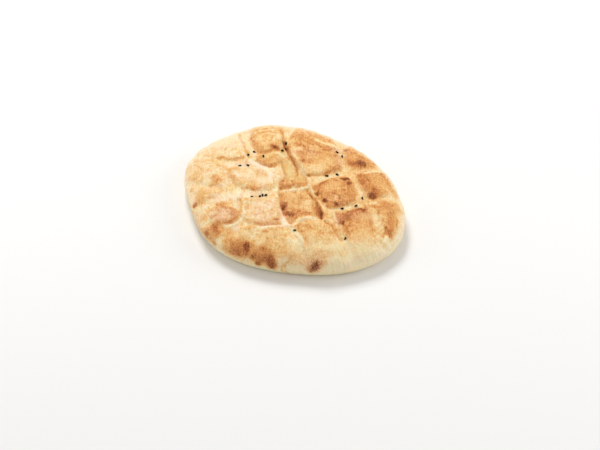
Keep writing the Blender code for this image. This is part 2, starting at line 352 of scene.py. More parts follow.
def topGrid():
    # A square grid pulled round into a disc: u times the root of 1 - v squared / 2, and v likewise
    side = np.linspace(-1, 1, loaf["topSquares"] + 1)
    u, v = (values.ravel() for values in np.meshgrid(side, side, indexing="ij"))
    discX, discY = u * np.sqrt(1 - v * v / 2), v * np.sqrt(1 - u * u / 2)
    share = np.hypot(discX, discY)
    share = np.minimum(share * (1 + loaf["rimCrowding"] * (1 - share**2)), 1)
    x, y = placeInOutline(np.arctan2(discY, discX) + np.radians(loaf["gridTurn"]), share)
    number = np.arange(len(u)).reshape(len(side), len(side))
    corners = (number[:-1, :-1], number[1:, :-1], number[1:, 1:], number[:-1, 1:])
    quads = np.stack(corners, axis=-1).reshape(-1, 4)
    border = np.concatenate([number[:-1, 0], number[-1, :-1], number[:0:-1, -1], number[0, :0:-1]])
    return np.column_stack([x, y, topHeight(x, y)]), quads, border


def loafSurface():
    # The top's grid, rings down a quarter ellipse to the floor, then rings in to a point under the middle
    places, quads, border = topGrid()
    rim = places[border]
    meanRadius = (loaf["halfLength"] + loaf["halfWidth"]) / 2
    turn = np.pi / 2 * np.arange(1, loaf["sideRings"] + 1) / loaf["sideRings"]
    down = 1 - loaf["undersideInset"] * (1 - np.cos(turn)) / meanRadius
    inward = down[-1] * (1 - np.arange(1, loaf["undersideRings"]) / loaf["undersideRings"])
    widths = np.append(down, inward)
    heights = np.append(loaf["widestHeight"] * (1 - np.sin(turn)), np.zeros(len(inward)))
    rings = []
    numbers = [border]
    for ring, (width, height) in enumerate(zip(widths, heights)):
        rings.append(np.column_stack([rim[:, :2] * width, np.full(len(rim), height)]))
        numbers.append(len(places) + len(rim) * ring + np.arange(len(rim)))
    sides = []
    for above, below in zip(numbers, numbers[1:]):
        sides.append(np.stack([above, below, np.roll(below, -1), np.roll(above, -1)], axis=-1))
    places = np.vstack([places] + rings + [[0, 0, 0]])
    fan = np.stack([numbers[-1], np.full(len(rim), len(places) - 1), np.roll(numbers[-1], -1)], axis=-1)
    return places, np.vstack([quads] + sides), fan


def surfaceNormals(places, quads):
    # The cross product of each face's diagonals, summed at its corners and brought to length one
    a, b, c, d = (places[quads[:, corner]] for corner in range(4))
    across = np.cross(c - a, d - b)
    total = np.zeros(places.shape)
    for corner in range(4):
        for axis in range(3):
            total[:, axis] += np.bincount(quads[:, corner], across[:, axis], len(places))
    length = np.maximum(np.linalg.norm(total, axis=1), 1e-9)   # so as not to divide by nought
    return total / length[:, None]


# The crust. A pair of numbers for a climb or a fall is where it starts or ends, and its width

crustRelief = {
    "lumps": ((16.0, 0.50), (7.0, 0.35), (3.4, 0.24)),   # cell and height of each layer of unevenness
    "topFrom": (2.0, 8.0),       # lumps and folds set in above the underside
    "foldWidth": 2.3,            # fine folds of the dried skin
    "foldLength": 9.0,
    "foldDrop": 6.0,             # the folds' cell in height
    "foldTurn": 118.0,
    "foldHeight": 0.40,
    "foldMean": 0.25,        # taken off the folds' height
    "roundFolds": (1.2, 1.7, 20.0),      # the folds round the rim: times wider, times longer, drop
    "roundFoldRadius": 100.0,            # where their length is measured
    "roundFoldsAbove": (14.0, 14.0),     # they lie on the upper right, past this height and
    "roundFoldsRightOf": (-50.0, 12.0),
    "roundFoldsPast": (0.62, 0.16),      # or past this share of the outline
    "patchCell": 13.0,           # the folds come and go in patches
    "patchMean": 0.55,
    "patchSize": 1.1,
    "rimFoldWidth": 1.9,     # fine folds across the rim
    "rimFoldHeight": 0.38,
    "rimFoldDrop": 0.12,
    "rimFoldsPast": (0.72, 0.15),
    "rimFoldsElsewhere": 0.15,   # how much of them shows away from the front right
    "frontRightCalm": 0.6,       # how much the other folds die down there
    "undersideHeight": 0.35,  # low lumps under the loaf
    "undersideCell": 9.0,
    "undersideShare": 0.9,
}

# The front right of the side is pale and finely folded: past a slanting line, given by the shares of x and y
# and where it starts, and right of an upright one
frontRight = {"slant": (0.55, 0.83), "past": (62.0, 22.0), "rightOf": (25.0, 30.0)}

crustTone = {
    "left": 0.27,            # how far the plain dough between the pads is toasted
    "right": 0.33,
    "leftToRight": (-40.0, 80.0),
    "layers": ((14.0, 0.06), (4.2, 0.07), (1.9, 0.09)),   # cell and share of each layer of unevenness
    "unevenPale": 0.5,       # the unevenness on pale dough, and how much it grows with toasting
    "unevenGrowth": 0.9,
    "stripAndShade": 0.43,           # the bare floor of the hollow, darkened to paint its shade
    "blisters": (2.8, 0.13),     # cell and share of the darker blisters
    "blistersFrom": (0.15, 0.4),
    "blisterMean": 0.2,
    "cracks": (4.2, 0.14),       # cell and share of the paler lines between them
    "crackPower": 4,
    "crackMean": 0.3,
    "foldShare": 0.22,       # how much paler the folds' crests are
    "rimFoldShare": 0.12,
    "creases": 0.11,         # and how much browner the creases are, as painted shade
    "creaseReach": 3,        # squares of the top's grid
    "creaseDepth": 0.8,      # the depth of a full crease
    "wander": ((5.0, 0.9), (2.2, 0.5)),   # cell and reach of the uneven edges of pads and marks
    "padRounding": 0.6,
    "padFrom": (-0.8, 2.0),  # a pad's toasting sets in just outside its edge
    "markTurn": 28.0,        # the way marks and patches lie unless they give their own turn
    "markTightness": 0.85,   # higher is a smaller spot
    "rim": 0.08,             # how far the pale rim, partly painted rim light, is toasted, and the side and underside likewise
    "frontRightPaleness": 0.65,
    "side": 0.09,
    "sideFade": 8.0,         # over this height below the widest line
    "underside": 0.46,
    "undersideLayer": (12.0, 0.12),
    "undersideBelow": (1.5, 1.5),
    "undersideWithin": (0.95, 0.1),
    "flourLayers": ((6.0, 0.5), (3.0, 0.5)),  # cell and share of the flour's unevenness
    "sideFlourLoss": 0.7,
    "sideCream": 0.9,
    "frontRightCream": 0.95,
    "rimFoldCream": 0.3,
    "stripCream": 0.1,
}

# Every layer of noise has its own seed, so the loaf comes out the same each time
noiseSeeds = {
    "lumps": 11, "straightFolds": 21, "roundFolds": 22, "foldPatches": 23, "rimFolds": 24,
    "undersideLumps": 41, "wanderX": 51, "wanderY": 57, "layers": 61, "blisters": 64,
    "undersideTone": 65, "cracks": 66, "flourAndSheen": 71,
}

# Toasted and pale marks, a few of them painted shade and a few painted highlights: place, half length, half
# width, how far they are toasted, and a turn of their own
toastMarksAndPaintedLight = {
    # (-80, 4.2) browns the step under the upper left pad's edge: browning plus painted shade
    "upperLeft": ((-80, 4.2, 4, 1.6, 0.56), (-93, 23, 6, 5, 0.24), (-62, 14, 2.5, 2, 0.44)),
    "topLeft": (
        (-57, 34, 7, 4, 0.50, -40), (-44, 41, 5.5, 3.5, 0.50),
        (-41.5, 48.6, 3, 3, 0.38), (-39.8, 39.7, 4.8, 2.4, 0.94, 6),
    ),
    "smallLump": (
        (-46, 21, 2.4, 4.5, 0.56), (-36.2, 24.6, 2.6, 4.5, 0.50), (-31.6, 16.6, 3.4, 1.6, 0.62),
        (-39, 16.8, 3.4, 2.4, 0.58), (-32.2, 34.8, 4.4, 3.4, 0.08),
    ),
    "besideCrack": ((-26, 43, 3, 4, 0.44), (-34, 66, 4, 3, 0.46), (-29, 57, 3, 4, 0.40)),
    "leftMiddle": (
        (-54.6, -12.4, 3.5, 4, 0.13), (-27.4, -8.3, 4.6, 5, 0.16), (-26.5, -14, 3.5, 2.6, 0.40),
        (-45, -8, 3, 3, 0.12), (-60.5, -5.5, 3, 3, 0.42), (-58.4, -14.6, 2.2, 3, 0.48),
        (-63.7, -9.7, 1.9, 3.8, 0.52), (-55, -16.6, 2.4, 3.6, 0.49), (-40.1, 2.5, 2.8, 3, 0.46),
        (-45.5, -16, 6, 2.6, 0.36), (-34.6, -15, 5, 3.2, 0.43), (-32.6, -19.4, 3.2, 2.2, 0.54),
        (-46, -21, 3, 2, 0.36), (-31.6, -21.4, 1.2, 1, 0.76),
    ),
    "farLeft": (
        (-94, -26.6, 5, 4, 0.38), (-70.4, -27, 4.4, 4, 0.52), (-74, -23, 2, 2.2, 0.58),
        (-67.2, -25, 2, 2.2, 0.60), (-66, -37, 7, 3, 0.36), (-77.5, -31, 4.6, 3.2, 0.14),
        (-76, -16, 3.4, 3.4, 0.20), (-61, -27, 2.6, 2.8, 0.16), (-59, -34, 2, 2, 0.46),
        (-68, -42.4, 6, 2.5, 0.40), (-87, -43.3, 2, 2, 0.50),
    ),
    "leftLow": ((-72.3, -51.5, 4.4, 8, 0.50), (-74.5, -58.3, 3.8, 2.2, 0.80)),
    "lowerLeft": (
        (-31.5, -59, 3.2, 5.5, 0.62), (-37, -68.4, 3.6, 2.4, 0.58), (-40, -62, 3.4, 3, 0.42),
        (-49, -49.4, 5, 3.2, 0.52), (-57.5, -69.5, 3.6, 4, 0.44), (-52, -65.5, 2.8, 2.6, 0.22),
        # (-13.7, -76.1) is a painted highlight on the front left bulge
        (-36.3, -37.6, 1.1, 1.2, 0.66), (-38.6, -78.6, 5.4, 5, 0.57), (-13.7, -76.1, 3.2, 2.6, 0.24),
        (-22.4, -70, 3, 2.6, 0.26), (-36.8, -80.6, 2.8, 2.6, 0.74), (-26.5, -76.5, 3.6, 4, 0.48),
    ),
    "frontLeft": (
        (-42, -81, 6, 7, 0.56), (-41.6, -76.4, 4, 4.6, 0.68), (-39.5, -78.4, 2.2, 2.6, 0.80),
        (-46.7, -83.2, 2.6, 3.6, 0.78), (-35.7, -75.4, 2.5, 3, 0.46), (-35.5, -88.6, 1.6, 2.5, 0.60),
    ),
    "front": (
        (-9.4, -87.4, 8, 7.6, 0.58), (-17.4, -88.5, 2.2, 4.6, 0.68),
        (-9, -89, 4.4, 5.6, 0.70), (-24, -85, 3.4, 3.4, 0.52), (-17, -91, 5, 3.8, 0.64),
        (-9, -91, 6, 3.5, 0.72), (-2, -90.2, 4, 3, 0.64), (-23, -90.6, 5, 4, 0.48),
        (1.4, -82, 3.2, 3.6, 0.60), (-4, -88.5, 4, 3.5, 0.68), (-2.6, -85.2, 2.8, 4.4, 0.94),
        (4, -85.4, 2.4, 2.4, 0.52), (9.4, -87, 4, 3.6, 0.70), (6.4, -89.6, 3.4, 3.2, 0.84),
        (15, -83.5, 8, 6, 0.58), (12, -81.4, 3, 2.4, 0.70), (17, -87.4, 7, 5, 0.68),
        (12.4, -90.6, 2.8, 3.4, 0.87), (21.8, -86, 4.2, 4, 0.80, 10),
        (25.8, -89, 4, 5.4, 0.92), (32, -76, 4.5, 4.5, 0.44), (16.5, -53, 6, 2.6, 0.46),
        (4.8, -64.8, 2.6, 1.4, 0.60), (-9.6, -66, 4, 3, 0.44), (39, -63, 9, 4, 0.10),
    ),
    # In the centre, (4, -23.4), (3.8, -27.2) and (0.6, -25.4), along the left lip's foot, are browning plus
    # painted shade
    "centre": (
        (-0.8, -14, 5, 7, 0.44), (16, -29.5, 9, 4.6, 0.62, 0), (27, -24.5, 6, 3.4, 0.54, 0),
        (34, -17, 3.4, 7, 0.66), (27, -8, 2.6, 5, 0.56, -12), (22, -11.4, 3.2, 3, 0.22),
        (4, -23.4, 2.4, 2.8, 0.84), (3.8, -27.2, 1.6, 2.4, 0.98), (10.6, -31.8, 2.2, 2.4, 0.86),
        (16, -32, 2.8, 2.8, 0.84), (19, -25, 2.4, 2, 0.70), (25, -26, 2, 2, 0.74),
        (29.6, -24.7, 3, 2, 0.70), (39.6, -19, 2.8, 4.4, 0.90), (45, -19.6, 2, 3, 0.52),
        (35.5, -15, 2, 3, 0.78), (20.5, -18.8, 3.4, 2.8, 0.34), (0.6, -25.4, 1.8, 2.6, 0.86),
    ),
    "slope": (
        (-26.5, 29, 2.6, 2.8, 0.50), (-4, 2.5, 4, 1.8, 0.72),
        (2, 6.5, 5.4, 1.6, 0.66), (15.6, 1.9, 1.6, 1.3, 0.62),
    ),
    "lowerMiddle": (
        (29, -43, 2.8, 5, 0.52), (35.5, -48.7, 1.7, 1.7, 0.60), (62, -49, 4, 3.5, 0.44),
        (44.5, -56.8, 1.6, 1.4, 0.52), (7.4, -47, 2.6, 1.9, 0.74),
        (6.4, -40.4, 2, 3, 0.46), (54.6, -27.6, 4.4, 2.6, 0.50),
    ),
    # The spots from (42.6, -75.6) to (53, -74), low on the front side left of the scorch, are browning plus
    # painted shade
    "side": (
        (40.5, -67, 4.4, 3.4, 0.22), (46.6, -59, 4, 3, 0.46), (54, -61, 4, 3, 0.42),
        (42.6, -75.6, 4.6, 4.4, 0.62), (48.6, -72.6, 4.6, 4, 0.56), (78.5, -50.4, 4.6, 4, 0.36),
        (106.4, -21, 2.6, 2.6, 0.36), (53, -74, 5, 4, 0.50), (56, -68, 6, 4.4, 0.50),
        (66.6, -67.6, 4.6, 3.6, 0.50), (60.4, -62, 6, 3.8, 0.50), (68, -57, 6, 3.6, 0.44),
        (78.7, -42.7, 3.8, 5, 0.26), (80.7, -35.5, 2, 2, 0.04), (74.7, -38.3, 2, 2, 0.04),
        (66, -62, 5.4, 3.6, 0.52), (49, -68, 4, 4, 0.38), (44.4, -74.8, 5.5, 4.5, 0.44),
        (60, -75.4, 4.8, 4.4, 0.80), (62.4, -72.2, 4.8, 5.4, 0.88),
    ),
    "upperMiddle": (
        # (12.4, 28.2) pales the groove above the brown pad: its own pale dough plus painted light where the
        # relief shades it
        (10, 33, 9, 5.4, 0.28), (12.4, 28.2, 3.6, 2.6, 0.20), (11, 57, 3.4, 2.4, 0.38),
        (14, 45, 7, 5, 0.36), (-1, 37.5, 4, 3, 0.58), (-22, 27, 3, 6, 0.40),
        (-24, 63.6, 4, 4.5, 0.62), (-30, 67, 3.4, 3, 0.56), (-12.5, 43, 5.5, 6.5, 0.60),
        (-8, 34.4, 2, 2.4, 0.76), (16.4, 55.4, 1.7, 2.6, 0.86), (6.6, 20.6, 2.2, 1.3, 0.68),
        (26, 44.6, 2.4, 2.6, 0.62), (20, 50, 3, 5, 0.50), (0, 52, 5, 3, 0.60),
        (-20, 47.5, 5, 2.4, 0.34), (-14, 50, 3, 1.6, 0.56, 50), (9, 54, 5, 3, 0.54),
    ),
    "topRight": (
        (40, 62, 12, 8, 0.58), (31, 66, 4, 4, 0.52), (18.6, 72.6, 2, 2.2, 0.76),
        (37.5, 56.5, 5.6, 2.6, 0.80), (41.5, 61, 3.8, 3.6, 0.94), (44.5, 60, 3, 2.2, 0.90),
    ),
    "brown": (
        (32, 12, 6, 6, 0.43), (53, 14, 4, 5, 0.58), (20.4, 9, 2.8, 4.2, 0.62),
        (49, -3, 5.5, 1.8, 0.68), (37.8, 30.4, 2.6, 1.6, 0.90), (41.2, 31.6, 2.4, 1.9, 1.00),
        # (29.4, -5), at the brown pad's lower left edge, is browning plus painted shade in the groove
        (45.2, 26.8, 2.2, 2.3, 0.95, 10), (36, 20.5, 3.4, 3, 0.38), (29.4, -5, 2.8, 2, 0.60),
        (25.4, 2.4, 2.4, 3, 0.97), (36.8, -4.4, 2.2, 2.4, 1.00), (47, -3.6, 2.6, 2, 0.98),
        (44, -6.6, 3, 2.4, 0.56), (38, 2, 4, 3, 0.58),
    ),
    "upperRight": (
        (68, 46, 7, 9, 0.50), (77.6, 44, 5, 5, 0.45), (52.7, 41.3, 2.8, 5.8, 0.64),
        (56.4, 36.8, 2.6, 3.2, 0.74), (70, 31, 4.8, 5, 0.76),
        (71.8, 24.4, 4.6, 3.6, 0.92), (64, 30, 4, 5, 0.66), (86, 42, 3.4, 5, 0.60),
    ),
    "right": (
        (87, 18.4, 4.2, 2.6, 0.54), (85.5, 24, 6, 3.6, 0.62), (91, 26, 2.2, 2.6, 0.70),
        (91.5, 30.5, 5.4, 3.2, 0.54), (96, 14, 3.6, 8, 0.62), (81, 15, 5, 2.4, 0.60),
        (73.6, 8.8, 3, 2.2, 0.54), (88.8, 18.4, 4.6, 3, 0.66), (100.6, 4, 3, 7, 0.63),
        # (86, 36) pales the right rim's slope: painted rim light
        (106.6, -6.5, 2.6, 5, 0.68), (86, 36, 5, 6, 0.20), (99, 26, 4, 5, 0.46),
    ),
    "rightMiddle": (
        (62.5, -13, 8, 6, 0.76), (70, -1, 8, 3, 0.70), (80, -8, 8, 7, 0.46),
        (86, -24, 9, 9, 0.38), (79.8, -33.7, 4, 3.4, 0.46), (56.6, -13.6, 2.6, 3.2, 0.70),
        (66.5, 1, 4.5, 2.2, 0.76), (73.8, 5.2, 2.4, 2, 0.93), (61.8, -4.6, 2.6, 1.8, 0.84),
        (53.6, -12, 2.4, 2.8, 0.66), (69.4, 4.9, 2.8, 1.8, 0.86), (74, 3, 2.2, 1.6, 0.92),
        (63.6, -20.6, 2.2, 2.2, 0.94), (85.5, -6.5, 1.8, 2.8, 0.68),
    ),
}
# Browned creases and pale ridges: how far they are toasted, half width and the line they follow. Some browned
# lines, in the crack, at the lips' feet and in the upper left creases, are partly painted shade, and one pale
# line beside the crack is a painted highlight
tonedAndShadedLines = (
    # This line and the next, under the upper left pad's edge and along its crease, are browning plus painted
    # shade
    (0.54, 1.1, ((-84, 3.2), (-76.6, 4.9), (-70, 7.2), (-65, 11))),
    (0.62, 1.0, ((-85, 45), (-78, 37.5), (-72, 32.5), (-65, 26), (-60.5, 22))),
    (0.04, 1.9, ((-55, 14), (-47, 11.8), (-40, 10.6), (-32.5, 8), (-26, 1.5), (-21.5, -5))),
    (0.62, 2.3, ((-70, 44), (-67, 40), (-59, 33))),
    (0.60, 2.0, ((-59, 33), (-52, 28), (-47, 29), (-43.5, 34), (-41, 39))),
    (0.60, 1.0, ((-49, 15.6), (-41, 14), (-33, 14.2), (-29, 18))),
    (0.57, 0.8, ((-37.6, -21.8), (-31.4, -20.6), (-24.6, -15.3), (-21, -11))),
    (0.18, 1.5, ((46, -11), (52.8, -5.7), (58.2, 0.2), (64.5, 5.4))),
    (0.42, 1.1, ((-80, -16), (-75, -19), (-68, -22), (-62, -27))),
    (0.46, 1.0, ((-67, -49), (-62, -46.5), (-58, -44))),
    (0.58, 0.8, ((-36.5, -37), (-33.6, -41.6))),
    (0.40, 0.9, ((-33.6, -41.6), (-29.8, -48.6), (-26.5, -54))),
    (0.80, 1.3, ((-53.5, -52.4), (-48, -52.9), (-43, -53))),
    (0.62, 1.8, ((-44, -53), (-36, -52.2), (-29, -53))),
    (0.58, 2.6, ((-30, -56), (-28, -60), (-29.5, -65))),
    (0.70, 1.5, ((-28.5, -65), (-32, -69), (-37, -71), (-43, -70.5))),
    # These two brown the left lip's foot: browning plus painted shade
    (0.66, 1.6, ((-12, 0), (-10, -5.6), (-6, -11.2))),
    (0.82, 2.0, ((-6, -11.2), (-1.6, -17.8), (3.2, -25.6), (8.6, -31.6), (11.6, -34))),
    (0.54, 0.9, ((-27, 26), (-22, 20.5), (-17.5, 15), (-14, 10.5))),
    (0.10, 1.8, ((-9, -6.4), (-3.1, -3.4), (6, 2.6), (12.9, 7.4))),
    (0.66, 0.8, ((49, -29), (55, -27.8), (59.5, -32), (64.5, -35.6), (70, -38.5))),
    (0.62, 1.3, ((-36, 70), (-27, 68.5), (-16, 66), (-6, 63), (4, 61), (12, 59))),
    (0.62, 1.2, ((-28, 62), (-18, 60.5), (-9, 61), (0, 61))),
    (0.72, 1.1, ((0, 57), (6.5, 59.5), (13, 57))),
    (0.66, 1.3, ((-24, 54), (-18, 50), (-12, 50), (-4, 51))),
    (0.34, 2.2, ((-31, 54), (-25, 47.5), (-18.5, 41.5), (-12.5, 36.2), (-5, 30), (2, 24.5))),
    # These three, along the right lip's edge beside the crack, are a painted highlight
    (0.08, 1.4, ((-26, 43), (-20.7, 38.4), (-17.2, 35.8), (-13.2, 32.6))),
    (0.26, 1.2, ((-13.2, 32.6), (-9.4, 30), (-5.6, 26.9))),
    (0.14, 1.2, ((-5.6, 26.9), (-1.8, 23.6), (1.6, 20.4))),
    (0.46, 0.8, ((5, 20), (12, 24), (19.5, 29))),
    (0.70, 1.7, ((18.6, 31), (23.8, 38.1), (27, 45.6))),
    (0.20, 2.2, ((-11, 69.5), (-4, 68), (4, 69.5), (11, 71.8))),
    (0.04, 1.9, ((-24.8, 32), (-17.2, 23.9), (-12.8, 17.2))),
    (0.66, 0.9, ((-11.8, 27.4), (-5.4, 18.4))),
    (0.62, 0.9, ((-27.5, 26.4), (-21, 19.4), (-15.6, 14.4))),
    (0.62, 1.3, ((46, 24), (52, 20.5), (56, 16), (58.5, 12))),
    (0.72, 1.5, ((55, -13), (59.4, -8.6), (64.4, -2.2), (69, 3.4), (74, 6.4))),
    (0.68, 1.8, ((53, -17), (59, -20), (65, -22), (72, -28), (78, -33))),
    (0.74, 1.0, ((99.5, -3.5), (101.6, -6), (104, -9.4))),
    # Browning plus painted shade along the upper left crease
    (0.46, 1.1, ((-84, 46), (-77, 37), (-69, 29), (-62, 22), (-55, 17))),
    (0.24, 1.8, ((-82, 51), (-73, 38), (-64, 28), (-57, 21))),
    (0.03, 1.4, ((-2, -64.5), (3, -61), (7.3, -57.8), (14, -51.8), (19.5, -49))),
    (0.03, 2.8, ((9.6, -37), (12.6, -43), (17.6, -46.5))),
    (0.58, 1.2, ((-6, -58.4), (1.5, -55), (7, -52.2), (12.8, -49.2))),
    (0.02, 2.3, ((22.5, -46), (25, -38), (29.6, -32.6), (35.6, -28.9), (41, -27.4))),
    (0.08, 1.6, ((52, -15), (57, -20))),
    (0.06, 2.0, ((24.5, -47), (34, -53.5), (41, -59), (43, -63))),
    # These two brown the right lip's foot: browning plus painted shade
    (0.86, 1.1, ((16.5, 2.6), (18.6, 0.2), (22, -2.6), (27, -6.6), (30.4, -9))),
    (0.86, 1.4, ((29, -8.4), (36.4, -14), (41.6, -18.4), (43.6, -22.8))),
    (0.20, 1.7, ((4, 21), (9, 16), (13.5, 9.5), (18.4, 3.2))),
    (0.14, 1.1, ((18.6, 3.4), (24, -0.8), (30.6, -6.4), (38.4, -12.7), (44, -19))),
    (0.06, 1.5, ((-46, -75), (-37, -74), (-28, -70.5), (-23.5, -62), (-23, -54))),
    (0.02, 2.0, ((105.6, -11), (106.2, -15), (106.6, -17.6))),
    (0.52, 1.0, ((40.4, -76.4), (37.5, -82.2), (33.5, -85))),
    # These four darken the crack and the crease beside the right lip: browning plus painted shade
    (1.00, 1.0, ((-37.5, 54), (-33.5, 48), (-29.5, 44))),
    (0.50, 0.9, ((-47, 66), (-43, 60), (-39, 54))),
    (0.80, 0.8, ((-38.5, 53.5), (-32.5, 46.7), (-28, 42.5))),
    (0.76, 0.9, ((-30, 43.4), (-27.2, 39.9), (-22, 36.8), (-15.3, 31.4), (-10.8, 27.6), (-6, 21))),
    (0.68, 1.7, ((42, -8.4), (46, -6), (50.4, 0), (54, 5.6))),
    (0.16, 1.8, ((51, 49), (56.5, 56.3), (62, 63))),
    (0.24, 1.4, ((12, 20.5), (20, 26.4), (28, 33))),
)
# Floury patches, then creamy ones, then patches the colour of honey, which in the hollow paint its olive
# shade:
# place, half length, half width, share, and a turn of their own
flourPatches = (
    (-60, -21, 4, 6, 0.3), (-5.5, -50.4, 5, 3.4, 0.85), (-22, -71, 4, 3, 0.6), (24, 49, 5, 7, 0.4),
    (-22, 6, 6, 8, 0.4), (-54, -12, 5, 5, 0.5), (-32, -27, 13, 2.8, 0.75, 30),
    (-28, -10, 6, 7, 0.6), (-40, -8, 14, 9, 0.25), (-41, -62, 11, 8, 0.65), (-8, -40, 16, 14, 0.55),
    (-1, -47, 8, 6, 0.5), (-50, -42, 12, 5, 0.7), (-60, 3, 12, 4, 0.7), (-38, 9, 9, 5, 0.7, -20),
    (-90, 30, 22, 14, 0.5, 60), (-78, -18, 10, 8, 0.2), (-18, 46, 10, 3.5, 0.5),
    (-98, -18, 12, 16, 0.25, 90), (-66, -34, 9, 4, 0.25), (-46, 11.5, 9, 3, 0.5, 0),
    (-30, 5, 7, 3, 0.7, -45), (13, -42, 5, 7, 0.9), (5, -56, 12, 3, 0.8), (15, 67, 8, 6, 0.5, 0),
    (-10, 46, 10, 8, 0.25), (68, -8, 12, 6, 0.2), (46, 3, 9, 6, 0.2), (57, -18, 4, 7, 0.5),
)
creamPatches = (
    (-92, 34, 14, 12, 0.7, 50), (-71, 35, 4, 14, 0.8, 52), (-56, -38, 16, 3, 0.4),
    (-44, 4, 5, 12, 0.4, -60), (-29, 29, 4, 4, 0.6, 0), (-30, 36, 4, 4, 0.6, 0), (88, -1, 5, 9, 0.6, 60),
    (60, 26, 3, 9, 0.7, 60), (22, 25, 13, 3, 0.6, 42), (-72, 38, 5, 14, 0.6, 45), (60, 60, 12, 4, 0.4),
)
honeyAndShadePatches = (
    (-17, 22, 6, 15, 0.95, 45), (0, 14, 5, 5, 0.9, 45), (-31, 40, 3, 5, 0.6, 45),
    (66, 25, 3, 9, 0.6, 62), (-70, 33, 2.5, 13, 0.5, 38), (-40, 25, 9, 7, 0.4, 0),
    (20, -6, 12, 7, 0.4), (77, -46, 6, 6, 0.5), (88, 0, 5, 9, 0.4, 60), (96, 17, 8, 5, 0.4),
)
# The rim by its angle from +X: how pale it is (partly painted rim light), at which share of the outline it
# starts, how floury it is (on the far side partly a painted sheen)
rim = {
    "angles": (-180, -150, -125, -105, -85, -65, -45, -20, 0, 30, 60, 90, 120, 150, 180),
    "paleness": (0.50, 0.40, 0.20, 0.15, 0.25, 0.60, 0.90, 1.00, 1.00, 0.90, 0.80, 0.75, 0.65, 0.50, 0.50),
    "start": (0.88, 0.88, 0.88, 0.88, 0.88, 0.88, 0.88, 0.90, 0.92, 0.92, 0.88, 0.80, 0.80, 0.82, 0.88),
    "flourAndSheen": (0.7, 0.5, 0.3, 0.1, 0.1, 0.2, 0.2, 0.3, 0.5, 0.7, 0.9, 1.0, 0.8, 0.6, 0.7),
}


def frontRightShare(x, y):
    # An eased step past the slanting line, times one past the upright line
    shareX, shareY = frontRight["slant"]
    return climb(x * shareX - y * shareY, *frontRight["past"]) * climb(x, *frontRight["rightOf"])


def skinFolds(places):
    # 1 less the size of a stretched noise, cubed, so that its noughts make crests: straight ones in the
    # middle and ones that follow the rim; and a noise drawn out across the rim, most at the front right
    x, y, z = places.T
    share = shareOfOutline(x, y)
    onFrontRight = frontRightShare(x, y)
    width, length = crustRelief["foldWidth"], crustRelief["foldLength"]
    along, across = turned(x, y, -crustRelief["foldTurn"])
    cell = (width, length, crustRelief["foldDrop"])
    straight = valueNoise(np.column_stack([across, along, z]), cell, noiseSeeds["straightFolds"])
    angle = np.arctan2(y, x)
    wider, longer, drop = crustRelief["roundFolds"]
    roundPlaces = np.column_stack([share * loaf["halfWidth"], angle * crustRelief["roundFoldRadius"], z])
    roundRim = valueNoise(roundPlaces, (width * wider, length * longer, drop), noiseSeeds["roundFolds"])
    upper = climb(y, *crustRelief["roundFoldsAbove"]) * climb(x, *crustRelief["roundFoldsRightOf"])
    followsRim = np.maximum(upper, climb(share, *crustRelief["roundFoldsPast"])) * (1 - onFrontRight)
    patchNoise = valueNoise(places, crustRelief["patchCell"], noiseSeeds["foldPatches"])
    patches = smoothStep(crustRelief["patchMean"] + crustRelief["patchSize"] * patchNoise)
    folds = (1 - np.abs(straight)) ** 3 * (1 - followsRim) + (1 - np.abs(roundRim)) ** 3 * followsRim
    folds = (folds - crustRelief["foldMean"]) * patches * (1 - crustRelief["frontRightCalm"] * onFrontRight)
    flat = np.zeros(len(places))
    acrossRim = np.column_stack([angle * loaf["halfLength"], z * crustRelief["rimFoldDrop"], flat])
    rimFolds = valueNoise(acrossRim, crustRelief["rimFoldWidth"], noiseSeeds["rimFolds"])
    rimFolds *= climb(share, *crustRelief["rimFoldsPast"])
    return folds, rimFolds * towards(crustRelief["rimFoldsElsewhere"], 1, onFrontRight)


def liftCrust(places, normals):
    # Every point of the top moves along its normal by the layers of noise and the folds, and the underside
    # rises by a noise of its own
    share = shareOfOutline(places[:, 0], places[:, 1])
    onTop = climb(places[:, 2], *crustRelief["topFrom"])
    lift = layered(places, crustRelief["lumps"], noiseSeeds["lumps"])
    folds, rimFolds = skinFolds(places)
    lift += crustRelief["foldHeight"] * folds + crustRelief["rimFoldHeight"] * rimFolds
    lumps = 1 + valueNoise(places, crustRelief["undersideCell"], noiseSeeds["undersideLumps"])
    below = crustRelief["undersideHeight"] * lumps / 2
    moved = places + normals * (lift * onTop)[:, None]
    moved[:, 2] += below * (1 - onTop) * (share < crustRelief["undersideShare"])
    moved[:, 2] = np.maximum(moved[:, 2], 0)
    return moved


def creaseShadeShare(places):
    # Painted shade for the creases: how far the points a few squares away on the top's grid lie above each
    # point, over a crease's depth
    side = loaf["topSquares"] + 1
    reach = crustTone["creaseReach"]
    height = places[:side * side, 2].reshape(side, side)
    wide = np.pad(height, reach, mode="reflect", reflect_type="odd")
    inner = slice(reach, -reach)
    around = (wide[2 * reach:, inner] + wide[:-2 * reach, inner] + wide[inner, 2 * reach:]
              + wide[inner, :-2 * reach]) / 4
    share = np.zeros(len(places))
    share[:side * side] = smoothStep((around - height).ravel() / crustTone["creaseDepth"])
    return share


def spots(rows, x, y, z):
    # Each row's level and its weight at every point. The row's own two directions over its half sizes, with
    # height counted as part of the second, give the reach: e to the power of minus its cube
    for spotX, spotY, long, wide, level, *ownTurn in rows:
        turn = ownTurn[0] if ownTurn else crustTone["markTurn"]
        alongX, alongY = turned(x - spotX, y - spotY, -turn)
        rise = z - topHeight(np.array([spotX]), np.array([spotY]))
        reach = np.hypot(alongX / long, np.hypot(alongY, rise) / wide)
        yield level, np.exp(-(crustTone["markTightness"] * reach) ** 3)


